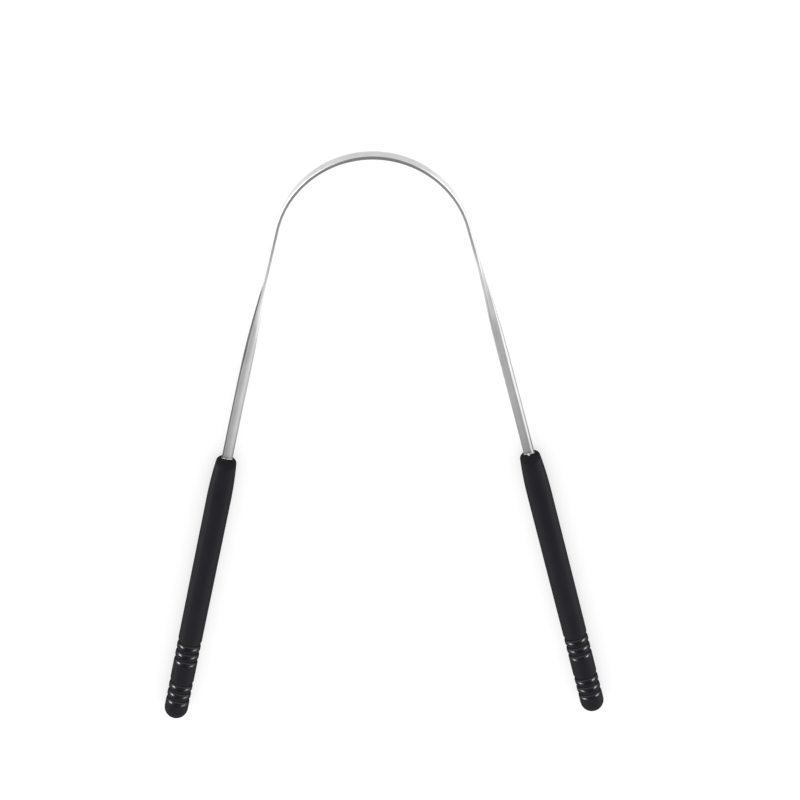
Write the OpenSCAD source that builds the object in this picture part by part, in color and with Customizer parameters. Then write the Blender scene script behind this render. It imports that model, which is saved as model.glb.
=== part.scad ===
// Tongue scraper: a flat steel strip bent to a U, with a round handle cemented on each end.
// It lies flat. X runs across it, Y along it towards the crown of the arch, and Z up.
// The origin is under the middle of its outline, on the surface that the handles lie on.
// Lengths are in millimetres and angles in degrees.

/* [Strip] */
// Width of the strip across its wide faces
strip_width = 2.6; // [2:0.1:2.8]
// Thickness of the strip at its long edges
edge_thickness = 0.9; // [0.65:0.05:1]
// Radius that rounds the corners of the long edges
edge_round = 0.3; // [0.1:0.05:0.3]
// Height by which each wide face swells between the edges
face_crown = 0.05; // [0.02:0.01:0.1]

/* [Arch] */
// Radius of the bend at the crown of the arch
crown_radius = 19.5; // [15:0.5:26]
// Radius that the bend opens towards, down the sides of the arch
side_radius = 28; // [20:0.5:36]

/* [Arms] */
// Angle between an arm and the centre line where it leaves the arch
arm_flare = 13; // [6:0.5:20]
// Angle between a handle and the centre line
handle_flare = 11.8; // [5:0.1:20]
// Length of an arm from the arch to the nose of its handle
arm_length = 68.5; // [56:0.5:90]
// Length of arm that stands on edge before the strip starts to turn flat
twist_start = 8.5; // [1:0.5:10]
// Length of arm over which the strip turns from on edge to flat
twist_length = 40; // [20:1:44]

/* [Handles] */
// Length of a handle
handle_length = 84; // [76:1:110]
// Diameter of the straight barrel of a handle
handle_diameter = 6; // [5.6:0.1:8]
// Diameter that the taper would have at the very nose
nose_diameter = 4.9; // [4.8:0.1:5.4]
// Length of the bowed taper behind the nose
taper_length = 12; // [8:0.5:16]
// Radius that rounds the rim of the nose
nose_round = 0.6; // [0.3:0.05:0.6]
// Radius that rounds the mouth of the bore
mouth_round = 0.05; // [0.05:0.05:0.15]

/* [Grip grooves] */
// Number of grooves in each group
groove_count = 3; // [1:1:4]
// Number of groups of grooves
group_count = 2; // [1:1:2]
// Distance between neighbouring grooves
groove_pitch = 2.7; // [2.4:0.1:3.4]
// Width of a groove at the surface of the barrel
groove_width = 1.9; // [1.2:0.1:2]
// Depth of a groove
groove_depth = 0.55; // [0.2:0.05:0.6]
// Distance between the last groove of one group and the first of the next
group_gap = 8.1; // [5:0.1:12]
// Distance from the end of the tail to the middle of the nearest groove
tail_to_groove = 6.5; // [5.2:0.1:9]

/* [Tang and cement] */
// Length of the strip's flat tang inside a handle
tang_length = 25; // [15:1:30]
// Thickness of the cement between the strip's corners and the wall of the bore
bond_wall = 0.05; // [0.05:0.05:0.15]
// Depth of cement below the end of the tang
bond_end = 1; // [0.5:0.1:2]
// Height by which the bead of cement stands out of the mouth
bead_height = 0.1; // [0.1:0.05:0.4]

/* [Hidden] */

LEFT = -1;
RIGHT = 1;
// How far a cutting shape runs past what it cuts
overrun = 0.5;
// Sides of round shapes, and steps along the strip
$fn = 64;
arch_steps = 28;
twist_steps = 18;
corner_steps = 3;
face_steps = 4;

steel_color = [0.78, 0.78, 0.79];
handle_color = [0.09, 0.09, 0.10];
bond_color = [0.86, 0.86, 0.82];

barrel_radius = handle_diameter / 2;
nose_radius = nose_diameter / 2;
half_thickness = edge_thickness / 2 + face_crown;
// Centre of a rounded corner of the strip, across the width and through the thickness
corner_across = strip_width / 2 - edge_round;
corner_through = edge_thickness / 2 - edge_round;
bore_radius = norm([corner_across, corner_through]) + edge_round + bond_wall;
bore_depth = tang_length + bond_end;

// Bend of the arch. Its radius goes evenly from the crown's to the side's as the strip turns,
// so the place of each point follows from the angle that the strip has turned through.
mean_radius = (crown_radius + side_radius) / 2;
radius_swing = (crown_radius - side_radius) / 2;
arch_turn = 90 - arm_flare;

function arch_x(turn) =
    mean_radius * sin(turn) + radius_swing * (sin(turn) / 2 + sin(3 * turn) / 6);
function arch_drop(turn) =
    mean_radius * (1 - cos(turn))
    + radius_swing * ((1 - cos(3 * turn)) / 6 - (1 - cos(turn)) / 2);

// An arm bows inwards by so little that its chord is as long as the arm.
function arm_turn(along) = arch_turn + (arm_flare - handle_flare) * along / arm_length;
function arm_x(along) = arch_x(arch_turn) + along * cos((arch_turn + arm_turn(along)) / 2);
function arm_drop(along) = arch_drop(arch_turn) + along * sin((arch_turn + arm_turn(along)) / 2);

nose_x = arm_x(arm_length);
nose_drop = arm_drop(arm_length);
tail_reach = handle_length - barrel_radius;
lowest_drop = nose_drop + tail_reach * cos(handle_flare) + barrel_radius;
// Place of the strip's middle line at the crown, which centres the whole outline on the origin
crown_y = (lowest_drop - half_thickness) / 2;
axis_height = barrel_radius;

// Share of the quarter turn that the strip has made at a place along an arm
function eased(share) = share * share * (3 - 2 * share);
function twist_share(along) = eased(min(1, max(0, (along - twist_start) / twist_length)));

// A station is [x, y, turn, twist]: a place of the middle line, the angle that the strip has
// turned through since the crown, and the angle that its outer face has rolled up from the side.
function arch_station(turn) = [arch_x(turn), crown_y - arch_drop(turn), turn, 0];
function arm_station(side, along) =
    [side * arm_x(along), crown_y - arm_drop(along), side * arm_turn(along), side * 90 * twist_share(along)];
function tang_station(side) =
    [side * (nose_x + tang_length * sin(handle_flare)),
     crown_y - nose_drop - tang_length * cos(handle_flare),
     side * (90 - handle_flare), side * 90];

twist_places = [for (i = [0 : twist_steps]) twist_start + twist_length * i / twist_steps];
arm_places = concat(twist_places, [arm_length]);
last_place = len(arm_places) - 1;

stations = concat(
    [tang_station(LEFT)],
    [for (i = [last_place : -1 : 0]) arm_station(LEFT, arm_places[i])],
    [for (i = [-arch_steps : arch_steps]) arch_station(arch_turn * i / arch_steps)],
    [for (i = [0 : last_place]) arm_station(RIGHT, arm_places[i])],
    [tang_station(RIGHT)]
);

// Cross-section of the strip, [across the width, through the thickness]: two gently swelling
// faces between two flat edges with rounded corners.
function edge_points(side) =
    [for (face = [-1, 1], i = [0 : corner_steps])
        let (angle = 90 * (i / corner_steps + (face - 1) / 2))
        [side * (corner_across + edge_round * cos(angle)),
         side * (face * corner_through + edge_round * sin(angle))]];
function face_points(side) =
    [for (i = [1 : face_steps - 1])
        let (share = 1 - 2 * i / face_steps)
        [side * corner_across * share, side * (edge_thickness / 2 + face_crown * (1 - share * share))]];

section = concat(edge_points(RIGHT), face_points(RIGHT), edge_points(LEFT), face_points(LEFT));

// The section set up at a station: its width lies along the edge of the U at the crown and
// rolls into the plane of the U along the arms, both arms rolling the same way.
function section_at(station) =
    let (turn = station[2], twist = station[3],
         out_x = sin(turn), out_y = cos(turn))
    [for (p = section)
        let (outward = p[1] * cos(twist) - p[0] * sin(twist),
             upward = p[1] * sin(twist) + p[0] * cos(twist))
        [station[0] + outward * out_x, station[1] + outward * out_y, axis_height + upward]];

// Joins equal rings of points, one after another, into a closed body of triangles
module skin_rings(rings) {
    sides = len(rings[0]);
    last = len(rings) - 1;
    walls = [for (ring = [0 : last - 1], side = [0 : sides - 1])
        let (near = ring * sides, next = (side + 1) % sides, far = near + sides)
        for (face = [[near + side, near + next, far + next], [near + side, far + next, far + side]])
            face];
    caps = [[for (side = [sides - 1 : -1 : 0]) side],
            [for (side = [0 : sides - 1]) last * sides + side]];
    polyhedron(points = [for (ring = rings, point = ring) point], faces = concat(walls, caps));
}

// Puts a shape that is built up along Z, from a handle's nose at zero, onto the left or right arm
module on_arm(side) {
    translate([side * nose_x, crown_y - nose_drop, axis_height])
        rotate([0, 0, side * handle_flare])
            rotate([90, 0, 0])
                children();
}

// Bow of the taper: a long arc that runs smoothly into the barrel
taper_drop = barrel_radius - nose_radius;
bow_radius = (taper_length * taper_length + taper_drop * taper_drop) / (2 * taper_drop);
bow_centre = barrel_radius - bow_radius;
// Centre of the nose's rounding, which touches the front of the nose and the bow
round_centre = bow_centre + sqrt(pow(bow_radius - nose_round, 2) - pow(taper_length - nose_round, 2));
round_meets_bow = taper_length - bow_radius * (taper_length - nose_round) / (bow_radius - nose_round);

// Half outline of a handle before its bore and grooves are cut, [radius, distance from the nose]
module handle_outline() {
    square([round_centre, round_meets_bow]);
    intersection() {
        translate([round_centre, nose_round]) circle(nose_round);
        square([barrel_radius, round_meets_bow]);
    }
    intersection() {
        translate([bow_centre, taper_length]) circle(bow_radius, $fn = 720);
        translate([0, round_meets_bow]) square([barrel_radius, taper_length - round_meets_bow]);
    }
    translate([0, taper_length]) square([barrel_radius, tail_reach - taper_length]);
    intersection() {
        translate([0, tail_reach]) circle(barrel_radius);
        translate([0, tail_reach]) square([barrel_radius, barrel_radius]);
    }
}

// Distances of the grooves from the nose, nearest the tail first
group_pitch = (groove_count - 1) * groove_pitch + group_gap;
groove_places = [for (group = [0 : group_count - 1], i = [0 : groove_count - 1])
    handle_length - tail_to_groove - group * group_pitch - i * groove_pitch];
groove_radius = (pow(groove_width / 2, 2) + pow(groove_depth, 2)) / (2 * groove_depth);

// The blind bore, with its mouth rounded off
module bore_outline() {
    translate([0, -overrun]) square([bore_radius, bore_depth + overrun]);
    difference() {
        translate([0, -overrun]) square([bore_radius + mouth_round, mouth_round + overrun]);
        translate([bore_radius + mouth_round, mouth_round]) circle(mouth_round);
    }
}

module handle(side) {
    color(handle_color)
        on_arm(side)
            rotate_extrude()
                difference() {
                    handle_outline();
                    bore_outline();
                    for (place = groove_places)
                        translate([barrel_radius - groove_depth + groove_radius, place])
                            circle(groove_radius);
                }
}

// Radius of the ball that the bead's face is part of
bead_rise = bead_height + mouth_round;
bead_radius = (bore_radius * bore_radius + bead_rise * bead_rise) / (2 * bead_rise);

// Half outline of the cement: a plug that fills the bore, with a domed bead at the mouth
module bond_outline() {
    translate([0, mouth_round]) square([bore_radius, bore_depth - mouth_round]);
    intersection() {
        translate([0, bead_radius - bead_height]) circle(bead_radius);
        translate([0, -bead_height]) square([bore_radius, bead_rise]);
    }
}

module bond(side) {
    color(bond_color)
        on_arm(side)
            difference() {
                rotate_extrude() bond_outline();
                translate([0, 0, -bead_height - overrun])
                    linear_extrude(tang_length + bead_height + overrun)
                        polygon(section);
            }
}

// The steel strip in one piece: tang, arm, arch, arm and tang
module scraper_strip() {
    color(steel_color) skin_rings([for (station = stations) section_at(station)]);
}

module left_handle() {
    handle(LEFT);
}

module right_handle() {
    handle(RIGHT);
}

module left_bond() {
    bond(LEFT);
}

module right_bond() {
    bond(RIGHT);
}

scraper_strip();
left_handle();
right_handle();
left_bond();
right_bond();
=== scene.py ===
"""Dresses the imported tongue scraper: a satin steel strip, two black grips and their beads of cement."""
from math import asin, atan2, cos, dist, hypot, pi, radians, sin, sqrt, tan

import bpy
from mathutils import Matrix, Vector, noise


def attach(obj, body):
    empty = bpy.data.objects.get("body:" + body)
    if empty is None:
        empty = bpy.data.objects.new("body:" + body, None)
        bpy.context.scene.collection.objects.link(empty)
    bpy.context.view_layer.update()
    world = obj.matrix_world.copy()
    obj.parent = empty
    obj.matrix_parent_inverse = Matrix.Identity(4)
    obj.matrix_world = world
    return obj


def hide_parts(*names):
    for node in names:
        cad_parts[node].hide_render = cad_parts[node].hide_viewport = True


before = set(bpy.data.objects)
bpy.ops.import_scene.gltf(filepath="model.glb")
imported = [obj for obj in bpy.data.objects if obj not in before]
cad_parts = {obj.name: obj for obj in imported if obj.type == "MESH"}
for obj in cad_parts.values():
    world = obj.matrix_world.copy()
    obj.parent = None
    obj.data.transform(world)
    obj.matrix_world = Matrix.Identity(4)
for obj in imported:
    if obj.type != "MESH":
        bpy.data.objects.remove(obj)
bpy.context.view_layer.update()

scene = bpy.context.scene

MM = 0.001
LEFT = -1
RIGHT = 1

# Sizes of the part, as its source has them
STRIP_WIDTH = 2.6 * MM
EDGE_THICKNESS = 0.9 * MM
EDGE_ROUND = 0.3 * MM
FACE_CROWN = 0.05 * MM
CROWN_RADIUS = 19.5 * MM
SIDE_RADIUS = 28 * MM
ARM_FLARE = radians(13)
HANDLE_FLARE = radians(11.8)
ARM_LENGTH = 68.5 * MM
TWIST_START = 8.5 * MM
TWIST_LENGTH = 40 * MM
HANDLE_LENGTH = 84 * MM
BARREL_RADIUS = 3 * MM
NOSE_RADIUS = 2.45 * MM
TAPER_LENGTH = 12 * MM
NOSE_ROUND = 0.6 * MM
GROOVES_IN_GROUP = 3
GROOVE_GROUPS = 2
GROOVE_PITCH = 2.7 * MM
GROOVE_WIDTH = 1.9 * MM
GROOVE_DEPTH = 0.55 * MM
GROUP_GAP = 8.1 * MM
TAIL_TO_GROOVE = 6.5 * MM
TANG_LENGTH = 25 * MM
BOND_WALL = 0.05 * MM
BORE_DEPTH = 26 * MM

# The dressed surfaces lie this far inside the solids, so that they keep within the part's box
SKIN = 0.012 * MM
# Radius that the tool leaves on the rims of the grooves
RIM_ROUND = 0.08 * MM
# The nose closes in on the steel: a lip this deep behind its front, with a small step behind it as a
# share of its depth, and a collar that rises from the front and ends at the steel with a gap for the
# cement
LIP_DEPTH = 0.5 * MM
LIP_STEP = 0.02
COLLAR_LENGTH = 0.75 * MM
COLLAR_SPREAD = 0.09 * MM
COLLAR_CURVE = 1.6
SLOT_GAP = 0.04 * MM
SLOT_HALF = EDGE_THICKNESS / 2 + FACE_CROWN + SLOT_GAP

# How finely the strip is drawn: steps along half the arch, an arm and a tang, and points round it
ARCH_STEPS = 170
ARM_STEPS = 120
TANG_STEPS = 10
SECTION_POINTS = 104
EDGE_STEPS = 16
# How finely a grip is drawn: sides round it, and steps in each stretch of its outline
GRIP_SIDES = 128
COLLAR_STEPS = 8
NOSE_STEPS = 12
BOW_STEPS = 20
RIM_STEPS = 6
BED_STEPS = 18
TAIL_STEPS = 28
# Radius of the ring that carries a grip's outline round, and the distance within which points join
RING_RADIUS = 10 * MM
JOIN_DISTANCE = 0.001 * MM

# The part's place in its frame follows from its outline, which is centred on the origin
MEAN_RADIUS = (CROWN_RADIUS + SIDE_RADIUS) / 2
RADIUS_SWING = (CROWN_RADIUS - SIDE_RADIUS) / 2
ARCH_TURN = pi / 2 - ARM_FLARE
HALF_THICKNESS = EDGE_THICKNESS / 2 + FACE_CROWN
AXIS_HEIGHT = BARREL_RADIUS
CORNER_ACROSS = STRIP_WIDTH / 2 - EDGE_ROUND
CORNER_THROUGH = EDGE_THICKNESS / 2 - EDGE_ROUND
BORE_RADIUS = hypot(CORNER_ACROSS, CORNER_THROUGH) + EDGE_ROUND + BOND_WALL


def arch_place(turn):
    """Distance sideways and down from the crown, where the strip has turned by this angle."""
    x = MEAN_RADIUS * sin(turn) + RADIUS_SWING * (sin(turn) / 2 + sin(3 * turn) / 6)
    drop = MEAN_RADIUS * (1 - cos(turn))
    drop += RADIUS_SWING * ((1 - cos(3 * turn)) / 6 - (1 - cos(turn)) / 2)
    return x, drop


def arm_place(along):
    """Distance sideways and down from the crown, at a length along an arm."""
    x, drop = arch_place(ARCH_TURN)
    turn = ARCH_TURN + (ARM_FLARE - HANDLE_FLARE) * along / ARM_LENGTH
    chord = (ARCH_TURN + turn) / 2
    return x + along * cos(chord), drop + along * sin(chord)


def tang_place(depth):
    """Distance sideways and down from the crown, at a depth inside a handle."""
    x, drop = arm_place(ARM_LENGTH)
    return x + depth * sin(HANDLE_FLARE), drop + depth * cos(HANDLE_FLARE)


def twist_at(along):
    """Angle that the strip has rolled from on edge towards flat, at a length along an arm."""
    share = min(1, max(0, (along - TWIST_START) / TWIST_LENGTH))
    return radians(90) * share * share * (3 - 2 * share)


NOSE_X, NOSE_DROP = arm_place(ARM_LENGTH)
TAIL_CENTRE = HANDLE_LENGTH - BARREL_RADIUS
LOWEST_DROP = NOSE_DROP + TAIL_CENTRE * cos(HANDLE_FLARE) + BARREL_RADIUS
CROWN_Y = (LOWEST_DROP - HALF_THICKNESS) / 2


def link(tree, value, socket):
    """Links a socket, or sets a plain value."""
    if isinstance(value, bpy.types.NodeSocket):
        tree.links.new(value, socket)
    else:
        socket.default_value = value


def add_node(tree, kind, inputs=None, **settings):
    """Adds a node with its settings, and links or sets its inputs by name or place."""
    made = tree.nodes.new(kind)
    for name, value in settings.items():
        setattr(made, name, value)
    for name, value in (inputs or {}).items():
        link(tree, value, made.inputs[name])
    return made


def math(tree, operation, *values):
    """Result of a Math node."""
    inputs = dict(enumerate(values))
    return add_node(tree, "ShaderNodeMath", inputs, operation=operation).outputs[0]


def product(tree, *values):
    """All the values multiplied together."""
    result = values[0]
    for value in values[1:]:
        result = math(tree, "MULTIPLY", result, value)
    return result


def inverse(tree, share):
    """1 less a share."""
    return math(tree, "SUBTRACT", 1.0, share)


def parted(tree, vector):
    """X, Y and Z of a vector, by name."""
    return add_node(tree, "ShaderNodeSeparateXYZ", {"Vector": vector}).outputs


def map_range(tree, value, low, high, to_low, to_high, kind="LINEAR"):
    """Result of a Map Range node."""
    inputs = {"Value": value, "From Min": low, "From Max": high, "To Min": to_low, "To Max": to_high}
    return add_node(tree, "ShaderNodeMapRange", inputs, interpolation_type=kind).outputs["Result"]


def fade_in(tree, value, low, high):
    """Goes softly from 0 to 1 as a value goes from low to high."""
    return map_range(tree, value, low, high, 0.0, 1.0, "SMOOTHSTEP")


def fade_out(tree, value, low, high):
    """Goes softly from 1 to 0 as a value goes from low to high."""
    return map_range(tree, value, low, high, 1.0, 0.0, "SMOOTHSTEP")


def shape_tree(name, sizes):
    """A Geometry Nodes tree that takes a drawn line and named sizes, with its two ends."""
    tree = bpy.data.node_groups.new(name, "GeometryNodeTree")
    tree.interface.new_socket("Line", in_out="INPUT", socket_type="NodeSocketGeometry")
    for size in sizes:
        kind = "NodeSocketInt" if size in ("Section Points", "Sides") else "NodeSocketFloat"
        tree.interface.new_socket(size, in_out="INPUT", socket_type=kind)
    tree.interface.new_socket("Material", in_out="INPUT", socket_type="NodeSocketMaterial")
    tree.interface.new_socket("Body", in_out="OUTPUT", socket_type="NodeSocketGeometry")
    start = tree.nodes.new("NodeGroupInput")
    end = tree.nodes.new("NodeGroupOutput")
    return tree, start.outputs, end.inputs["Body"]


def finish_body(tree, body, material, end):
    """Ends a tree: smooth faces, real geometry and the material."""
    smooth = add_node(tree, "GeometryNodeSetShadeSmooth", {"Geometry": body})
    real = add_node(tree, "GeometryNodeRealizeInstances", {"Geometry": smooth.outputs["Geometry"]})
    inputs = {"Geometry": real.outputs["Geometry"], "Material": material}
    painted = add_node(tree, "GeometryNodeSetMaterial", inputs)
    tree.links.new(painted.outputs["Geometry"], end)


def keep_value(tree, body, name, value, kind):
    """Stores a value on every point of the body, for its material to read."""
    inputs = {"Geometry": body, "Name": name, "Value": value}
    return add_node(
        tree, "GeometryNodeStoreNamedAttribute", inputs, data_type=kind, domain="POINT"
    ).outputs["Geometry"]


def crowned_section(tree, start):
    """The strip's section: a rectangle with rounded corners, whose long sides swell."""
    bar = add_node(
        tree,
        "GeometryNodeCurvePrimitiveQuadrilateral",
        {"Width": start["Strip Width"], "Height": start["Edge Thickness"]},
    )
    rounded = add_node(
        tree,
        "GeometryNodeFilletCurve",
        {"Curve": bar.outputs["Curve"], "Radius": start["Edge Round"], "Count": EDGE_STEPS},
        mode="POLY",
    )
    even = add_node(
        tree,
        "GeometryNodeResampleCurve",
        {"Curve": rounded.outputs["Curve"], "Count": start["Section Points"]},
        mode="COUNT",
    )
    place = add_node(tree, "GeometryNodeInputPosition").outputs["Position"]
    at = parted(tree, place)
    half_width = math(tree, "MULTIPLY", start["Strip Width"], 0.5)
    share = math(tree, "DIVIDE", at["X"], math(tree, "SUBTRACT", half_width, start["Edge Round"]))
    swell = math(tree, "MAXIMUM", inverse(tree, math(tree, "MULTIPLY", share, share)), 0.0)
    lift = product(tree, swell, start["Face Crown"], math(tree, "SIGN", at["Y"]))
    offset = add_node(tree, "ShaderNodeCombineXYZ", {"Y": lift}).outputs["Vector"]
    inputs = {"Geometry": even.outputs["Curve"], "Offset": offset}
    crowned = add_node(tree, "GeometryNodeSetPosition", inputs)
    inputs = {"Geometry": crowned.outputs["Geometry"]}
    section = add_node(tree, "GeometryNodeCaptureAttribute", inputs, domain="POINT")
    section.capture_items.new("VECTOR", "Section Place")
    link(tree, place, section.inputs["Section Place"])
    return section.outputs


def rolled_strip_tree():
    """Sweeps the strip's section along its path, rolled as the path says."""
    sizes = ("Strip Width", "Edge Thickness", "Edge Round", "Face Crown", "Section Points")
    tree, start, end = shape_tree("rolled_strip", sizes)
    section = crowned_section(tree, start)

    # The path, with its roll
    path = add_node(tree, "GeometryNodeMeshToCurve", {"Mesh": start["Line"]})
    upright = add_node(tree, "GeometryNodeSetCurveNormal", {"Curve": path.outputs["Curve"]}, mode="Z_UP")
    roll = add_node(tree, "GeometryNodeInputNamedAttribute", {"Name": "roll"}, data_type="FLOAT")
    inputs = {"Curve": upright.outputs["Curve"], "Tilt": roll.outputs["Attribute"]}
    rolled = add_node(tree, "GeometryNodeSetCurveTilt", inputs)
    inputs = {"Geometry": rolled.outputs["Curve"]}
    run = add_node(tree, "GeometryNodeCaptureAttribute", inputs, domain="POINT")
    run.capture_items.new("FLOAT", "Length Along")
    link(tree, add_node(tree, "GeometryNodeSplineParameter").outputs["Length"], run.inputs["Length Along"])

    swept = add_node(
        tree,
        "GeometryNodeCurveToMesh",
        {"Curve": run.outputs["Geometry"], "Profile Curve": section["Geometry"], "Fill Caps": True},
    )
    on_section = parted(tree, section["Section Place"])
    inputs = {
        "X": run.outputs["Length Along"],
        "Y": math(tree, "MULTIPLY", on_section["X"], -1.0),
        "Z": on_section["Y"],
    }
    ribbon = add_node(tree, "ShaderNodeCombineXYZ", inputs).outputs["Vector"]
    body = keep_value(tree, swept.outputs["Mesh"], "ribbon", ribbon, "FLOAT_VECTOR")
    finish_body(tree, body, start["Material"], end)
    return tree


def turned_grip_tree():
    """Turns a grip's outline, drawn as radius along X and length along Z, round the Z axis."""
    sizes = ("Ring Radius", "Sides", "Barrel Radius", "Groove Depth", "Bore Radius", "Lip Depth")
    sizes += ("Slot Half", "Collar Spread", "Taper Length", "Tail Centre")
    tree, start, end = shape_tree("turned_grip", sizes)
    outline = add_node(tree, "GeometryNodeMeshToCurve", {"Mesh": start["Line"]})
    place = add_node(tree, "GeometryNodeInputPosition").outputs["Position"]
    at = parted(tree, place)
    inputs = {
        "X": math(tree, "SUBTRACT", at["X"], start["Ring Radius"]),
        "Y": math(tree, "MULTIPLY", at["Z"], -1.0),
    }
    drawn = add_node(tree, "ShaderNodeCombineXYZ", inputs).outputs["Vector"]
    inputs = {"Geometry": outline.outputs["Curve"], "Position": drawn}
    profile = add_node(tree, "GeometryNodeSetPosition", inputs)
    inputs = {"Resolution": start["Sides"], "Radius": start["Ring Radius"]}
    ring = add_node(tree, "GeometryNodeCurvePrimitiveCircle", inputs)
    inputs = {"Curve": ring.outputs["Curve"], "Profile Curve": profile.outputs["Geometry"]}
    turned = add_node(tree, "GeometryNodeCurveToMesh", inputs)
    inputs = {"Geometry": turned.outputs["Mesh"], "Distance": JOIN_DISTANCE}
    closed = add_node(tree, "GeometryNodeMergeByDistance", inputs)

    # The lip and collar: the bore's wall near the nose closes in to a slot, round which the collar
    # spreads back to a circle. The last point of the collar's spread still counts as within it.
    within_spread = 1.01
    square_x = math(tree, "POWER", at["X"], 2.0)
    square_y = math(tree, "POWER", at["Y"], 2.0)
    out = math(tree, "SQRT", math(tree, "ADD", square_x, square_y))
    flare = math(tree, "DIVIDE", math(tree, "SUBTRACT", out, start["Bore Radius"]), start["Collar Spread"])
    spread = add_node(tree, "ShaderNodeClamp", {"Value": flare}).outputs[0]
    low = math(tree, "MULTIPLY", start["Slot Half"], -1.0)
    flat = math(tree, "MAXIMUM", math(tree, "MINIMUM", at["Y"], start["Slot Half"]), low)
    closing = math(tree, "ADD", flat, math(tree, "MULTIPLY", math(tree, "SUBTRACT", at["Y"], flat), spread))
    moved = add_node(tree, "ShaderNodeCombineXYZ", {"X": at["X"], "Y": closing, "Z": at["Z"]})
    near_bore = math(tree, "LESS_THAN", flare, within_spread)
    in_lip = math(tree, "MULTIPLY", near_bore, math(tree, "LESS_THAN", at["Z"], start["Lip Depth"]))
    inputs = {
        "Geometry": closed.outputs["Geometry"],
        "Selection": in_lip,
        "Position": moved.outputs["Vector"],
    }
    lipped = add_node(tree, "GeometryNodeSetPosition", inputs)
    body = keep_value(tree, lipped.outputs["Geometry"], "turned", place, "FLOAT_VECTOR")

    # How deep a point lies in a groove, from 0 on the barrel to 1 at the bottom
    below = math(tree, "DIVIDE", math(tree, "SUBTRACT", start["Barrel Radius"], out), start["Groove Depth"])
    past_taper = math(tree, "GREATER_THAN", at["Z"], start["Taper Length"])
    before_tail = math(tree, "LESS_THAN", at["Z"], start["Tail Centre"])
    below = product(tree, below, past_taper, before_tail)
    depth = add_node(tree, "ShaderNodeClamp", {"Value": below}).outputs[0]
    body = keep_value(tree, body, "groove", depth, "FLOAT")
    finish_body(tree, body, start["Material"], end)
    return tree


def link_to_scene(name, mesh):
    """A new object at the origin, which holds this mesh."""
    made = bpy.data.objects.new(name, mesh)
    scene.collection.objects.link(made)
    return made


def drawn_line(name, points, rolls=None):
    """A line of edges through the points, with the roll at each, if it has one."""
    mesh = bpy.data.meshes.new(name)
    mesh.from_pydata(points, [(i, i + 1) for i in range(len(points) - 1)], [])
    if rolls:
        mesh.attributes.new("roll", "FLOAT", "POINT").data.foreach_set("value", rolls)
    return mesh


def grow(name, line, tree, inputs):
    """Runs a tree on a drawn line and returns the plain mesh that it makes."""
    host = link_to_scene(name + "_line", line)
    modifier = host.modifiers.new("shape", "NODES")
    modifier.node_group = tree
    for item in tree.interface.items_tree:
        if item.name in inputs:
            modifier[item.identifier] = inputs[item.name]
    evaluated = host.evaluated_get(bpy.context.evaluated_depsgraph_get())
    mesh = bpy.data.meshes.new_from_object(evaluated)
    mesh.name = name
    host.modifiers.remove(modifier)
    bpy.data.objects.remove(host)
    return mesh


def strip_path():
    """Points of the strip's middle line from the left tang to the right one, and the roll at each."""
    half = [(arch_place(ARCH_TURN * i / ARCH_STEPS), 0.0) for i in range(ARCH_STEPS)]
    for i in range(ARM_STEPS):
        along = ARM_LENGTH * i / ARM_STEPS
        half.append((arm_place(along), twist_at(along)))
    half += [(tang_place(TANG_LENGTH * i / TANG_STEPS), radians(90)) for i in range(TANG_STEPS + 1)]
    stations = [(-x, drop, -twist) for (x, drop), twist in reversed(half[1:])]
    stations += [(x, drop, twist) for (x, drop), twist in half]
    points = [(x, CROWN_Y - drop, AXIS_HEIGHT) for x, drop, twist in stations]
    rolls = [radians(90) + twist for x, drop, twist in stations]
    return points, rolls


def steel_strip():
    """The whole strip: tang, arm, arch, arm and tang."""
    points, rolls = strip_path()
    half_length = sum(dist(a, b) for a, b in zip(points, points[1:])) / 2
    sizes = {
        "Strip Width": STRIP_WIDTH - 2 * SKIN,
        "Edge Thickness": EDGE_THICKNESS - 2 * SKIN,
        "Edge Round": EDGE_ROUND,
        "Face Crown": FACE_CROWN,
        "Section Points": SECTION_POINTS,
        "Material": satin_steel(half_length),
    }
    line = drawn_line("strip_path", points, rolls)
    return link_to_scene("steel_strip", grow("steel_strip", line, rolled_strip_tree(), sizes))


def arc(centre, radius, start, end, steps):
    """Points of an arc in an outline, between two angles from its first direction."""
    turns = [start + (end - start) * i / steps for i in range(steps + 1)]
    return [(centre[0] + radius * cos(turn), centre[1] + radius * sin(turn)) for turn in turns]


def groove_outline(place, barrel):
    """A groove from its nose side to its tail side, with its rims softened."""
    groove_radius = ((GROOVE_WIDTH / 2) ** 2 + GROOVE_DEPTH**2) / (2 * GROOVE_DEPTH)
    centre_out = barrel - GROOVE_DEPTH + groove_radius
    reach = groove_radius + RIM_ROUND
    inward = centre_out - (barrel - RIM_ROUND)
    offset = sqrt(reach**2 - inward**2)
    lean = atan2(offset, inward)
    front = arc((barrel - RIM_ROUND, place - offset), RIM_ROUND, 0, lean, RIM_STEPS)
    bed = arc((centre_out, place), groove_radius, pi + lean, pi - lean, BED_STEPS)
    back = arc((barrel - RIM_ROUND, place + offset), RIM_ROUND, -lean, 0, RIM_STEPS)
    return front + bed[1:-1] + back


def collar_point(share):
    """Point [radius, distance from the nose] of the collar's slope, from its tip to its root."""
    return BORE_RADIUS + COLLAR_SPREAD * share, -COLLAR_LENGTH * (1 - share) ** COLLAR_CURVE


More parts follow.
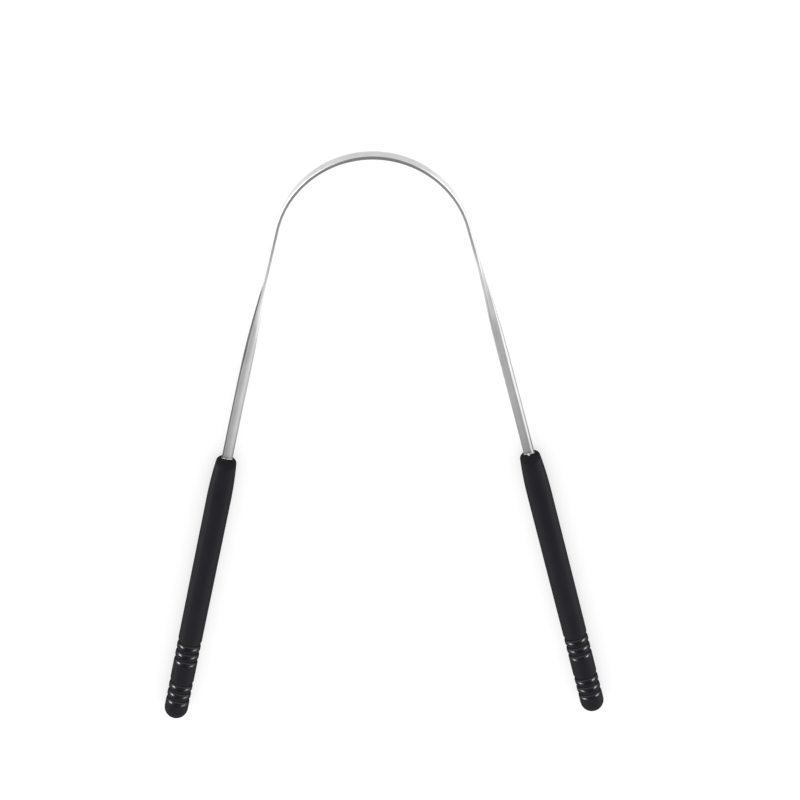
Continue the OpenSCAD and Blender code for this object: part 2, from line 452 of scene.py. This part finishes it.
def grip_outline():
    """Outline [radius, distance from the nose] of a grip, from the bottom of its bore round to its tail."""
    barrel = BARREL_RADIUS - SKIN
    drop = BARREL_RADIUS - NOSE_RADIUS
    bow_radius = (TAPER_LENGTH**2 + drop**2) / (2 * drop)
    bow_centre = (barrel - bow_radius, TAPER_LENGTH)
    inner_bow = bow_radius - NOSE_ROUND
    round_centre = (bow_centre[0] + sqrt(inner_bow**2 - (TAPER_LENGTH - NOSE_ROUND) ** 2), NOSE_ROUND)
    meet = asin((TAPER_LENGTH - NOSE_ROUND) / inner_bow)

    bore = [(0, BORE_DEPTH), (BORE_RADIUS, BORE_DEPTH)]
    lip = [(BORE_RADIUS, (1 + side * LIP_STEP) * LIP_DEPTH) for side in (1, -1)]
    collar = [collar_point(step / COLLAR_STEPS) for step in range(COLLAR_STEPS + 1)]
    nose = arc(round_centre, NOSE_ROUND, -pi / 2, -meet, NOSE_STEPS)
    bow = arc(bow_centre, bow_radius, -meet, 0, BOW_STEPS)
    outline = bore + lip + collar + nose + bow[1:]
    group_pitch = (GROOVES_IN_GROUP - 1) * GROOVE_PITCH + GROUP_GAP
    for group in reversed(range(GROOVE_GROUPS)):
        for i in reversed(range(GROOVES_IN_GROUP)):
            place = HANDLE_LENGTH - TAIL_TO_GROOVE - group * group_pitch - i * GROOVE_PITCH
            outline += groove_outline(place, barrel)
    outline += arc((0, TAIL_CENTRE), barrel, 0, pi / 2, TAIL_STEPS)
    return outline


def onto_arm(side):
    """Placing of a shape built along Z from a nose at the origin, on the left or right arm."""
    place = Matrix.Translation((side * NOSE_X, CROWN_Y - NOSE_DROP, AXIS_HEIGHT))
    return place @ Matrix.Rotation(side * HANDLE_FLARE, 4, "Z") @ Matrix.Rotation(pi / 2, 4, "X")


def black_grip(name, side, tree, material):
    """A grip, turned round its outline and put onto its arm."""
    sizes = {
        "Ring Radius": RING_RADIUS,
        "Sides": GRIP_SIDES,
        "Barrel Radius": BARREL_RADIUS - SKIN,
        "Groove Depth": GROOVE_DEPTH,
        "Bore Radius": BORE_RADIUS,
        "Lip Depth": LIP_DEPTH,
        "Slot Half": SLOT_HALF,
        "Collar Spread": COLLAR_SPREAD,
        "Taper Length": TAPER_LENGTH,
        "Tail Centre": TAIL_CENTRE,
        "Material": material,
    }
    line = drawn_line(name + "_outline", [(out, 0, along) for out, along in grip_outline()])
    mesh = grow(name, line, tree, sizes)
    mesh.transform(onto_arm(side))
    return link_to_scene(name, mesh)


# The cement: its gap to the steel and the bore, its rings from the steel to its foot on the collar,
# and the points of each ring along a face and round a corner of the strip
BOND_GAP = 0.004 * MM
BOND_RINGS = 10
FACE_POINTS = 24
CORNER_POINTS = 6
# The bead: its least height, how far it stands off the collar, how steeply it falls away from the
# steel, and the share of the collar's slope that it covers at most
BEAD_LEAST = 0.04 * MM
BEAD_LIFT = 0.01 * MM
BEAD_CURVE = 1.7
BEAD_COVER = 0.8
# A run of cement: how narrow it is, and the share of its size that adds to the bead's height
RUN_NARROWNESS = 6
RUN_HEIGHT = 0.3
# In the slot the cement fills this share of the gap, up to this share of the collar's length
SLOT_FILL = 0.8
SLOT_TOP = 0.9
# Sizes of the cement's wide and fine lumps, how high each stands, and what parts their seeds
WIDE_LUMP = 0.5 * MM
FINE_LUMP = 0.17 * MM
WIDE_HEIGHT = 1.2
FINE_HEIGHT = 0.9
FINE_SEED = 7
# The cement's edges are sharp from this angle up
CEMENT_SHARP = radians(50)


def strip_outline(gap):
    """Outline of the strip's section, counter-clockwise with its width along X, this far outside it."""
    points = []
    for side, start in ((1, 0), (-1, pi)):
        near = (side * CORNER_ACROSS, side * CORNER_THROUGH)
        far = (-side * CORNER_ACROSS, side * CORNER_THROUGH)
        points += arc(near, EDGE_ROUND + gap, start, start + pi / 2, CORNER_POINTS)
        for i in range(1, FACE_POINTS):
            share = 1 - 2 * i / FACE_POINTS
            swell = FACE_CROWN * (1 - share**2)
            points.append((side * share * CORNER_ACROSS, side * (EDGE_THICKNESS / 2 + gap + swell)))
        points += arc(far, EDGE_ROUND + gap, start + pi / 2, start + pi, CORNER_POINTS)
    return points


def lumps(x, y, seed):
    """Uneven height between about -1 and 1 at a place on the nose."""
    wide = noise.noise(Vector((x / WIDE_LUMP, y / WIDE_LUMP, seed)))
    fine = noise.noise(Vector((x / FINE_LUMP, y / FINE_LUMP, seed + FINE_SEED)))
    return WIDE_HEIGHT * wide + FINE_HEIGHT * fine


def bead_ring(share, steel_side, seed, climb, spread, run, ragged):
    """A ring of the bead, at a share of the way from the steel to the bead's foot on the collar."""
    run_turn, run_size = run
    root = BORE_RADIUS + COLLAR_SPREAD
    ring = []
    for x, y in steel_side:
        size = hypot(x, y)
        room = hypot(x * root / size - x, y * root / size - y)
        uneven = ragged * lumps(x, y, seed)
        flow = run_size * max(0, cos(atan2(y, x) - run_turn)) ** RUN_NARROWNESS
        reach = min(max(SLOT_GAP, spread + uneven + flow), BEAD_COVER * room) * share
        height = max(BEAD_LEAST, climb + uneven + RUN_HEIGHT * flow) * (1 - share) ** BEAD_CURVE
        slope = COLLAR_LENGTH * (1 - reach / room) ** COLLAR_CURVE
        ring.append((x + x / size * reach, y + y / size * reach, -slope - height - BEAD_LIFT))
    return ring


def closed_skin(rings, first_middle, last_middle):
    """Points and faces of a skin over rings of equal count, closed to a middle point at each end."""
    count = len(rings[0])
    points = [first_middle] + [point for ring in rings for point in ring] + [last_middle]
    faces = []
    for i in range(count):
        after = (i + 1) % count
        faces.append((0, 1 + i, 1 + after))
        for ring in range(len(rings) - 1):
            first = 1 + ring * count
            second = first + count
            faces.append((first + i, second + i, second + after, first + after))
        last = 1 + (len(rings) - 1) * count
        faces.append((last + i, len(points) - 1, last + after))
    return points, faces


def cement_mesh(name, *bead):
    """A plug behind the nose's lip, with a thin uneven bead where the steel comes out of the collar."""
    steel_side = strip_outline(BOND_GAP)
    slot_side = strip_outline(SLOT_GAP * SLOT_FILL)
    wall = BORE_RADIUS - BOND_GAP
    bore_side = [(x * wall / hypot(x, y), y * wall / hypot(x, y)) for x, y in steel_side]
    tang_end = TANG_LENGTH + BOND_GAP
    bore_end = BORE_DEPTH - BOND_GAP
    rings = [[(x, y, tang_end) for x, y in steel_side]]
    for step in range(BOND_RINGS + 1):
        rings.append(bead_ring(step / BOND_RINGS, steel_side, *bead))
    rings.append([(x, y, -SLOT_TOP * COLLAR_LENGTH) for x, y in slot_side])
    rings.append([(x, y, LIP_DEPTH) for x, y in slot_side])
    rings.append([(x, y, (1 + 2 * LIP_STEP) * LIP_DEPTH) for x, y in bore_side])
    rings.append([(x, y, bore_end) for x, y in bore_side])
    points, faces = closed_skin(rings, (0, 0, tang_end), (0, 0, bore_end))
    mesh = bpy.data.meshes.new(name)
    mesh.from_pydata(points, [], faces)
    mesh.shade_smooth()
    mesh.set_sharp_from_angle(angle=CEMENT_SHARP)
    return mesh


def cement(name, side, bead, material):
    """The cement of one arm, in its grip."""
    mesh = cement_mesh(name, *bead)
    mesh.materials.append(material)
    mesh.transform(onto_arm(side))
    return link_to_scene(name, mesh)


def seen_directly(tree):
    """1 for rays from the camera and in reflections, and 0 for the light that falls on matt surfaces."""
    rays = add_node(tree, "ShaderNodeLightPath").outputs
    mirrored = math(tree, "MAXIMUM", rays["Is Glossy Ray"], rays["Is Transmission Ray"])
    return math(tree, "MAXIMUM", rays["Is Camera Ray"], mirrored)


# Dimmer parts of the surroundings: middle direction, degrees from it to where the dimming is full
# and to where it ends, and the level
DIM_PARTS = (
    ((0, 0.8, 0.6), 60, 80, 0.12),
    ((-0.05, -0.65, 0.76), 14, 42, 0.71),
    ((0.4, -0.6, 0.69), 14, 34, 0.71),
    ((0.68, -0.6, 0.42), 14, 34, 0.71),
    ((-0.85, -0.45, 0.28), 12, 45, 0.64),
)
# How bright the surroundings are in the steel, and how much light they give to matt surfaces
SURROUNDINGS = 0.95
SKY_LIGHT = 0.95
WHITE = (1, 1, 1, 1)


def studio_world():
    """Surroundings white to the camera, with dimmer parts in the steel, and even light on matt surfaces."""
    world = bpy.data.worlds.new("studio")
    world.use_nodes = True
    tree = world.node_tree
    tree.nodes.clear()
    looking = add_node(tree, "ShaderNodeTexCoord").outputs["Generated"]
    level = 1.0
    for towards, inner, outer, dimmed in DIM_PARTS:
        inputs = {0: looking, 1: Vector(towards).normalized()}
        facing = add_node(tree, "ShaderNodeVectorMath", inputs, operation="DOT_PRODUCT").outputs["Value"]
        part = map_range(tree, facing, cos(radians(outer)), cos(radians(inner)), 1.0, dimmed, "SMOOTHSTEP")
        level = math(tree, "MINIMUM", level, part)
    level = math(tree, "MULTIPLY", level, SURROUNDINGS)
    camera_ray = add_node(tree, "ShaderNodeLightPath").outputs["Is Camera Ray"]
    level = math(tree, "MAXIMUM", level, camera_ray)
    surroundings = add_node(tree, "ShaderNodeBackground", {"Color": WHITE, "Strength": level})
    light = add_node(tree, "ShaderNodeBackground", {"Color": WHITE, "Strength": SKY_LIGHT})
    inputs = {0: seen_directly(tree), 1: light.outputs[0], 2: surroundings.outputs[0]}
    mixed = add_node(tree, "ShaderNodeMixShader", inputs)
    add_node(tree, "ShaderNodeOutputWorld", {"Surface": mixed.outputs[0]})
    scene.world = world


def new_material(name):
    """An empty node material with its tree."""
    material = bpy.data.materials.new(name)
    material.use_nodes = True
    material.node_tree.nodes.clear()
    return material, material.node_tree


def finish_material(tree, inputs):
    """Ends a material with a Principled shader that has these inputs."""
    shader = add_node(tree, "ShaderNodeBsdfPrincipled", inputs)
    add_node(tree, "ShaderNodeOutputMaterial", {"Surface": shader.outputs[0]})


# The floor: half its length in metres, its own grey, and the light it adds where it is seen
FLOOR_HALF = 30
FLOOR_COLOR = 0.5
FLOOR_GLOW = 0.6


def pale_floor_material():
    """A matt floor that renders white to the camera and in the steel, and keeps its shadows."""
    material, tree = new_material("pale_floor")
    matt = add_node(tree, "ShaderNodeBsdfDiffuse", {"Color": (FLOOR_COLOR, FLOOR_COLOR, FLOOR_COLOR, 1)})
    strength = math(tree, "MULTIPLY", seen_directly(tree), FLOOR_GLOW)
    glow = add_node(tree, "ShaderNodeEmission", {"Strength": strength})
    both = add_node(tree, "ShaderNodeAddShader", {0: matt.outputs[0], 1: glow.outputs[0]})
    add_node(tree, "ShaderNodeOutputMaterial", {"Surface": both.outputs[0]})
    return material


def pale_floor():
    """The wide floor that the part lies on."""
    mesh = bpy.data.meshes.new("floor")
    mesh.from_pydata([(x, y, 0) for x, y in ((-1, -1), (1, -1), (1, 1), (-1, 1))], [], [(0, 1, 2, 3)])
    mesh.transform(Matrix.Scale(FLOOR_HALF, 4))
    mesh.materials.append(pale_floor_material())
    return link_to_scene("floor", mesh)


def attribute(tree, name, output="Vector"):
    """Reads an attribute that a piece's tree has stored."""
    return add_node(tree, "ShaderNodeAttribute", attribute_name=name).outputs[output]


# How strongly the fine marks of every noise show on its wide ones
NOISE_ROUGHNESS = 0.55


def scaled_noise(tree, place, scale, detail):
    """Noise on a place, with this many marks per metre along each axis."""
    stretched = add_node(tree, "ShaderNodeMapping", {"Vector": place, "Scale": scale}).outputs["Vector"]
    inputs = {"Vector": stretched, "Scale": 1.0, "Detail": detail, "Roughness": NOISE_ROUGHNESS}
    return add_node(tree, "ShaderNodeTexNoise", inputs).outputs["Fac"]


def mixed_color(tree, share, low, high):
    """A colour between two."""
    mix = add_node(tree, "ShaderNodeMix", data_type="RGBA")
    link(tree, share, mix.inputs[0])
    mix.inputs[6].default_value = (*low, 1)
    mix.inputs[7].default_value = (*high, 1)
    return mix.outputs[2]


def blend(tree, share, low, high):
    """A value between two, which may be sockets."""
    mix = add_node(tree, "ShaderNodeMix", data_type="FLOAT")
    link(tree, share, mix.inputs[0])
    link(tree, low, mix.inputs[2])
    link(tree, high, mix.inputs[3])
    return mix.outputs[0]


def tinted(tree, color, level):
    """A colour made lighter or darker by a level."""
    mix = add_node(tree, "ShaderNodeMix", data_type="RGBA", blend_type="MULTIPLY")
    mix.inputs[0].default_value = 1
    grey = add_node(tree, "ShaderNodeCombineColor", {0: level, 1: level, 2: level}).outputs[0]
    link(tree, color, mix.inputs[6])
    link(tree, grey, mix.inputs[7])
    return mix.outputs[2]


# The steel's two greys, and the marks per metre of its fine and coarse grain and of its clouds,
# along, across and through the strip
STEEL_DARK = (0.53, 0.529, 0.532)
STEEL_LIGHT = (0.64, 0.639, 0.642)
FINE_GRAIN = (120, 14000, 14000)
COARSE_GRAIN = (25, 2600, 2600)
STEEL_CLOUDS = (160, 160, 160)
# Roughness of the steel's face, from its smoothest to its roughest, and of its upper edge, the depth
# of its grain, and how much of a metal the painted highlight line still looks
FACE_ROUGHNESS = (0.28, 0.4)
EDGE_ROUGHNESS = 0.55
GRAIN_DEPTH = 0.01 * MM
LINE_METAL = 0.1

# How the steel's inner face rounds off below its middle, in parts of a millimetre per square
# millimetre
ROUNDER = 0.08
# How softly one finish or painted mark passes into the next: at a corner, at other borders, and past
# the painted highlight line
CORNER_BLUR = 0.04 * MM
BORDER_BLUR = 0.06 * MM
LINE_BLUR = 0.08 * MM

# Stretches in which a painted mark of light or shade comes or goes, measured along the strip from the
# crown of the arch
ARM_STARTS = (42 * MM, 56 * MM)
NOSE_NEARS = (82 * MM, 97 * MM)
ARCH_SHADE_ENDS = (32 * MM, 46 * MM)
SHOULDER_RISES = (8 * MM, 30 * MM)
SHOULDER_FALLS = (34 * MM, 48 * MM)
GLINT_RISES = (37 * MM, 43 * MM)
GLINT_FALLS = (50 * MM, 58 * MM)
LINE_STARTS = (40 * MM, 52 * MM)
LINE_SINKS = (62 * MM, 84 * MM)
DARK_RISES = (45 * MM, 53 * MM)
DARK_FALLS = (54 * MM, 67 * MM)

# The left arm's painted bright shoulder reaches this much further down than the right one's
LEFT_LAG = 12 * MM
# The left arm's upper edge turns darker with painted shade here, over this length. Its outer half is
# shaded first, from this place through the strip, and as the arm turns the shaded part widens to the
# whole edge.
LEFT_SHADE_START = 50 * MM
LEFT_SHADE_BLUR = 5 * MM
LEFT_WIDENS = (50 * MM, 66 * MM)
LEFT_SHADE_FROM = (0.05 * MM, -0.46 * MM)
# The painted shade on the arch's upper edge starts this far past the corner at the crown, and this
# far at its sides
ARCH_SHADE_NARROWS = 28 * MM
ARCH_SHADE_FROM = (0.05 * MM, 0.24 * MM)
# The painted highlight line along the outer face of each arm: its width, and how far below the middle
# it starts in the first half of the arm and near the nose
LINE_WIDTH = 0.45 * MM
LINE_FROM = (0.45 * MM, 0.62 * MM)

# Shares that are left: of the painted shade on the strip's upper edge near the noses, of the painted
# bright streak at its lower edge, and of the painted shade beside the highlight line, at the far edge
# of the face and down the arm
NOSE_EDGE_SHADE = 0.5
STREAK_LEFT = 0.25
DARK_FAR = 0.45
DARK_LEFT = 0.12

# Stretches across the strip in which a painted mark comes or goes: upwards from its middle for the
# painted glint, downwards from the highlight line for the painted shade beside it, and downwards from
# its middle for the rest
GLINT_ACROSS = (0.8 * MM, 1.2 * MM)
DARK_ACROSS = (-1.6 * MM, -0.1 * MM)
STREAK_RISES = (-0.4 * MM, 0.6 * MM)
STREAK_FALLS = (0.6 * MM, 1.1 * MM)
LOW_SIDE = (0.5 * MM, 1.3 * MM)
LOW_EDGE = (1.0 * MM, 1.1 * MM)


class StripPlace:
    """Where a point of the steel lies on the strip, as sockets in metres or from 0 to 1."""

    def __init__(self, tree, half_length):
        self.ribbon = attribute(tree, "ribbon")
        at = parted(tree, self.ribbon)
        self.along = at["X"]
        self.from_crown = math(tree, "ABSOLUTE", math(tree, "SUBTRACT", self.along, half_length))
        # Across is above 0 on the arch's upper side, which runs on as the left side of both arms, and
        # through is above 0 on the outer face
        self.across = at["Y"]
        self.down = math(tree, "MULTIPLY", self.across, -1.0)
        self.through = at["Z"]
        self.outer = math(tree, "GREATER_THAN", self.through, 0.0)
        self.inner = inverse(tree, self.outer)
        self.left_half = math(tree, "LESS_THAN", self.along, half_length)
        left_shade_at = half_length - LEFT_SHADE_START
        self.left_arm = fade_out(tree, self.along, left_shade_at, left_shade_at + LEFT_SHADE_BLUR)
        self.on_arm = fade_in(tree, self.from_crown, *ARM_STARTS)
        self.near_nose = map_range(tree, self.from_crown, *NOSE_NEARS, 0.0, 1.0)
        past_corner = math(tree, "SUBTRACT", self.across, CORNER_ACROSS)
        self.upper_edge = fade_in(tree, past_corner, -CORNER_BLUR, CORNER_BLUR)


def painted_edge_shade(tree, at):
    """Painted shade that darkens the upper edge: round the arch, down the left arm, and near both noses."""
    crown_from, side_from = (CORNER_ACROSS + start for start in ARCH_SHADE_FROM)
    shade_edge_from = map_range(tree, at.from_crown, 0.0, ARCH_SHADE_NARROWS, crown_from, side_from)
    arch_edge_shade = fade_in(tree, math(tree, "SUBTRACT", at.across, shade_edge_from), 0.0, BORDER_BLUR)
    arch_edge_shade = math(tree, "MULTIPLY", arch_edge_shade, fade_out(tree, at.from_crown, *ARCH_SHADE_ENDS))
    left_from = map_range(tree, at.from_crown, *LEFT_WIDENS, *LEFT_SHADE_FROM)
    past_left = math(tree, "SUBTRACT", at.through, left_from)
    left_side = map_range(tree, past_left, 0.0, BORDER_BLUR, 0.0, 1.0)
    down_left = product(tree, at.upper_edge, at.left_arm, left_side)
    by_nose = product(tree, at.upper_edge, at.near_nose, NOSE_EDGE_SHADE)
    return math(tree, "MAXIMUM", math(tree, "MAXIMUM", arch_edge_shade, down_left), by_nose)


def shoulder_highlight(tree, at):
    """Painted highlight: the brighter shoulders, where the arch passes into the arms."""
    past_arch = math(tree, "SUBTRACT", at.from_crown, math(tree, "MULTIPLY", at.left_half, LEFT_LAG))
    rising = fade_in(tree, at.from_crown, *SHOULDER_RISES)
    return math(tree, "MULTIPLY", rising, fade_out(tree, past_arch, *SHOULDER_FALLS))


def edge_glint(tree, at):
    """Painted glint: the bright upper side where the right arm starts to turn."""
    rising = fade_in(tree, at.from_crown, *GLINT_RISES)
    falling = fade_out(tree, at.from_crown, *GLINT_FALLS)
    upper = map_range(tree, at.across, *GLINT_ACROSS, 0.0, 1.0)
    return product(tree, rising, falling, upper, inverse(tree, at.left_half))


def inner_highlight_streak(tree, at):
    """Painted highlight: the bright streak along the inner face of the arms, below its middle."""
    rising = map_range(tree, at.down, *STREAK_RISES, 0.0, 1.0)
    falling = map_range(tree, at.down, *STREAK_FALLS, 1.0, STREAK_LEFT)
    return product(tree, math(tree, "MINIMUM", rising, falling), at.inner, at.on_arm)


def painted_highlight_line(tree, at):
    """A painted highlight line along the outer face of the arms, and painted shade on the face beside it as
    they turn.
    """
    line_from = map_range(tree, at.from_crown, *LINE_SINKS, *LINE_FROM)
    past_line = math(tree, "SUBTRACT", at.down, line_from)
    starting = fade_in(tree, past_line, 0.0, BORDER_BLUR)
    ending = fade_out(tree, past_line, LINE_WIDTH, LINE_WIDTH + LINE_BLUR)
    line = product(tree, starting, ending, at.outer, fade_in(tree, at.from_crown, *LINE_STARTS))
    nearing = map_range(tree, past_line, *DARK_ACROSS, DARK_FAR, 1.0)
    turning = fade_in(tree, at.from_crown, *DARK_RISES)
    turned = map_range(tree, at.from_crown, *DARK_FALLS, 1.0, DARK_LEFT)
    return line, product(tree, nearing, turning, turned, at.outer, inverse(tree, line))


def rounded_inner(tree, at):
    """Normal of the inner face, which rounds off below its middle."""
    below = math(tree, "MAXIMUM", at.down, 0.0)
    form = product(tree, below, below, -ROUNDER / MM, at.inner)
    inputs = {"Strength": 1.0, "Distance": 1.0, "Height": form}
    return add_node(tree, "ShaderNodeBump", inputs).outputs["Normal"]


def satin_steel(half_length):
    """Stainless steel with its grain along the strip, and painted highlights and shade on its faces and
    edges.
    """
    material, tree = new_material("satin_steel")
    at = StripPlace(tree, half_length)
    brushed = scaled_noise(tree, at.ribbon, FINE_GRAIN, 4.0)
    drawn = scaled_noise(tree, at.ribbon, COARSE_GRAIN, 2.0)
    cloud = scaled_noise(tree, at.ribbon, STEEL_CLOUDS, 2.0)
    line, shade_beside_line = painted_highlight_line(tree, at)
    # Painted highlight on the lower side of the arch's outer face, and painted shade on the lower edge of
    # the arms
    low_side = map_range(tree, at.down, *LOW_SIDE, 0.0, 1.0)
    low_side = product(tree, low_side, at.outer, inverse(tree, at.on_arm))
    low_edge = product(tree, fade_in(tree, at.down, *LOW_EDGE), at.on_arm)

    # Each painted mark of light or shade, and how bright it is beside the plain face
    painted_marks = (
        (shoulder_highlight(tree, at), 1.4),
        (edge_glint(tree, at), 1.35),
        (painted_edge_shade(tree, at), blend(tree, at.left_arm, 0.53, 0.25)),
        (inner_highlight_streak(tree, at), 1.55),
        (line, 1.8),
        (shade_beside_line, 0.7),
        # Painted shade on the steel as it nears the grips
        (at.near_nose, 0.84),
        (low_side, 1.4),
        (low_edge, blend(tree, at.near_nose, 0.92, 0.4)),
    )
    level = 1.0
    for share, brightness in painted_marks:
        level = math(tree, "MULTIPLY", level, blend(tree, share, 1.0, brightness))

    tone = math(tree, "ADD", math(tree, "MULTIPLY", cloud, 0.5), math(tree, "MULTIPLY", drawn, 0.5))
    face = mixed_color(tree, map_range(tree, tone, 0.35, 0.65, 0.0, 1.0), STEEL_DARK, STEEL_LIGHT)
    satin = map_range(tree, math(tree, "ADD", brushed, cloud), 0.6, 1.4, *FACE_ROUGHNESS)
    grain = math(tree, "ADD", math(tree, "MULTIPLY", brushed, 0.4), math(tree, "MULTIPLY", drawn, 0.6))
    inputs = {"Strength": 0.25, "Distance": GRAIN_DEPTH, "Height": grain, "Normal": rounded_inner(tree, at)}
    bump = add_node(tree, "ShaderNodeBump", inputs)
    finish_material(
        tree,
        {
            "Base Color": tinted(tree, face, level),
            "Metallic": blend(tree, line, 1.0, LINE_METAL),
            "Roughness": blend(tree, at.upper_edge, satin, EDGE_ROUGHNESS),
            "Normal": bump.outputs["Normal"],
        },
    )
    return material


# The plastic's two blacks, and the marks per metre of its grain and of its clouds, which are drawn
# out along the grip
PLASTIC_DARK = (0.0014, 0.0014, 0.0052)
PLASTIC_LIGHT = (0.0066, 0.0066, 0.0132)
PLASTIC_GRAIN = (3600, 3600, 3600)
PLASTIC_CLOUDS = (300, 300, 120)
# Roughness of the plastic's satin, from its smoothest to its roughest, of the bed of a groove and of
# the dullest parts, and the depth of its grain
SATIN_ROUGHNESS = (0.38, 0.48)
GROOVE_ROUGHNESS = 0.4
DULLEST = 0.95
PLASTIC_GRAIN_DEPTH = 0.012 * MM
# Where the plastic changes: shares of a groove's depth between which it turns glossy, distances from
# the nose's front between which the nose's dullness ends, and how far a surface has turned away from
# the eye, from 0 to 1, as a grip's sides turn dull and as a groove loses its gloss
GLOSS_STARTS = (0.26, 0.44)
DULL_NOSE_ENDS = (0.5 * MM, 1.4 * MM)
SIDES_TURN = (0.3, 0.75)
GROOVE_TURNS = (0.22, 0.45)


def black_plastic():
    """Satin black plastic with a fine grain, glossier in the turned grooves."""
    material, tree = new_material("black_plastic")
    turned = attribute(tree, "turned")
    grain = scaled_noise(tree, turned, PLASTIC_GRAIN, 3.0)
    cloud = scaled_noise(tree, turned, PLASTIC_CLOUDS, 3.0)
    mottled = math(tree, "ADD", cloud, math(tree, "MULTIPLY", grain, 0.5))
    tone = map_range(tree, mottled, 0.5, 1.0, 0.0, 1.0)
    satin = map_range(tree, mottled, 0.45, 1.05, *SATIN_ROUGHNESS)
    polished = fade_in(tree, attribute(tree, "groove", "Fac"), *GLOSS_STARTS)
    dull_nose = map_range(tree, parted(tree, turned)["Z"], *DULL_NOSE_ENDS, 0.8, 0.0, "SMOOTHSTEP")
    edge_on = add_node(tree, "ShaderNodeLayerWeight", {"Blend": 0.5}).outputs["Facing"]
    soft_rim = math(tree, "MAXIMUM", map_range(tree, edge_on, *SIDES_TURN, 0.0, 1.0), dull_nose)
    groove_side = fade_in(tree, edge_on, *GROOVE_TURNS)
    plain = blend(tree, soft_rim, satin, DULLEST)
    in_groove = blend(tree, groove_side, GROOVE_ROUGHNESS, DULLEST)
    inputs = {"Strength": 0.4, "Distance": PLASTIC_GRAIN_DEPTH, "Height": grain}
    bump = add_node(tree, "ShaderNodeBump", inputs)
    finish_material(
        tree,
        {
            "Base Color": mixed_color(tree, tone, PLASTIC_DARK, PLASTIC_LIGHT),
            "Roughness": blend(tree, polished, plain, in_groove),
            "Specular IOR Level": 0.22,
            "Coat Weight": math(tree, "MULTIPLY", polished, blend(tree, groove_side, 0.8, 0.0)),
            "Coat Roughness": 0.18,
            "Coat IOR": 1.5,
            "Normal": bump.outputs["Normal"],
        },
    )
    return material


# The cement's two whites, the marks per metre of its lumps and of its clouds, its roughness from its
# smoothest to its roughest, and the depth of its lumps
CEMENT_DARK = (0.72, 0.72, 0.69)
CEMENT_LIGHT = (0.88, 0.88, 0.86)
CEMENT_LUMPS = (2600, 2600, 2600)
CEMENT_CLOUDS = (900, 900, 900)
CEMENT_ROUGHNESS = (0.1, 0.25)
LUMP_DEPTH = 0.02 * MM


def milky_cement():
    """Cured cement, smooth and slightly milky, with fine lumps."""
    material, tree = new_material("milky_cement")
    place = add_node(tree, "ShaderNodeTexCoord").outputs["Object"]
    lumpy = scaled_noise(tree, place, CEMENT_LUMPS, 3.0)
    cloud = scaled_noise(tree, place, CEMENT_CLOUDS, 2.0)
    bump = add_node(tree, "ShaderNodeBump", {"Strength": 0.3, "Distance": LUMP_DEPTH, "Height": lumpy})
    finish_material(
        tree,
        {
            "Base Color": mixed_color(tree, cloud, CEMENT_DARK, CEMENT_LIGHT),
            "Roughness": map_range(tree, lumpy, 0.35, 0.65, *CEMENT_ROUGHNESS),
            "Normal": bump.outputs["Normal"],
        },
    )
    return material


def mirrored_lamp(name, towards, width, height, radiance):
    """A round lamp in this direction from the part, which shows only where a surface mirrors it."""
    lamp = bpy.data.lights.new(name, "AREA")
    lamp.shape = "ELLIPSE"
    lamp.size = width
    lamp.size_y = height
    # A lamp's power is its radiance times its area times pi
    lamp.energy = radiance * pi * pi * width * height / 4
    made = bpy.data.objects.new(name, lamp)
    direction = Vector(towards).normalized()
    made.location = direction * LAMP_DISTANCE
    made.rotation_euler = direction.to_track_quat("Z", "Y").to_euler()
    made.visible_camera = False
    made.visible_diffuse = False
    scene.collection.objects.link(made)


# The camera, as worked out from the outline in the photograph, with its lens and sensor in millimetres
CAMERA_ELEVATION = radians(53)
CAMERA_AZIMUTH = radians(0.195)
CAMERA_ROLL = radians(-1.073)
CAMERA_DISTANCE = 756.7 * MM
CAMERA_TARGET = Vector((5.5 * MM, CROWN_Y - 68.6 * MM, AXIS_HEIGHT))
LENS = 144
SENSOR = 36


def aim_camera():
    """Puts the camera above the part on the arch's side, looking down, with the arch at the top."""
    data = bpy.data.cameras.new("camera")
    data.lens = LENS
    data.sensor_width = SENSOR
    camera = bpy.data.objects.new("camera", data)
    scene.collection.objects.link(camera)
    back = Vector((sin(CAMERA_AZIMUTH), cos(CAMERA_AZIMUTH), tan(CAMERA_ELEVATION))).normalized()
    level_right = Vector((0, 1, 0)).cross(back).normalized()
    level_up = back.cross(level_right)
    right = level_right * cos(CAMERA_ROLL) + level_up * sin(CAMERA_ROLL)
    up = level_up * cos(CAMERA_ROLL) - level_right * sin(CAMERA_ROLL)
    turn = Matrix((right, up, back)).transposed().to_4x4()
    camera.matrix_world = Matrix.Translation(CAMERA_TARGET + back * CAMERA_DISTANCE) @ turn
    scene.camera = camera


# Each arm's cement: seed of its lumps, how far it climbs up the steel and spreads on the collar, the
# direction and size of a run in it, and how ragged it is
BONDS = (
    ("left", LEFT, (3, 0.1 * MM, 0.07 * MM, (0.4 * pi, 0.08 * MM), 0.18 * MM)),
    ("right", RIGHT, (11, 0.12 * MM, 0.12 * MM, (0.62 * pi, 0.22 * MM), 0.03 * MM)),
)

# Lamps: name, direction from the part, width, height and radiance, all at this distance in metres
LAMPS = (
    ("left_lamp", (-0.85, 0.43, 0.28), 0.6, 0.6, 18),
    ("right_lamp", (0.85, 0.43, 0.28), 0.7, 0.7, 10),
)
LAMP_DISTANCE = 1.2

# The strip, the grips and the cement take the places of their solids
plastic = black_plastic()

strip = steel_strip()
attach(strip, "root")
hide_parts("scraper_strip")

grip_tree = turned_grip_tree()
for word, side in (("left", LEFT), ("right", RIGHT)):
    grip = black_grip(word + "_grip", side, grip_tree, plastic)
    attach(grip, "root")
    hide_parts(word + "_handle")

milky = milky_cement()
for word, side, bead in BONDS:
    bond = cement(word + "_cement", side, bead, milky)
    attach(bond, "root")
    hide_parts(word + "_bond")

# The floor, the light and the camera
pale_floor()
studio_world()
for lamp in LAMPS:
    mirrored_lamp(*lamp)
aim_camera()
scene.view_settings.view_transform = "Standard"
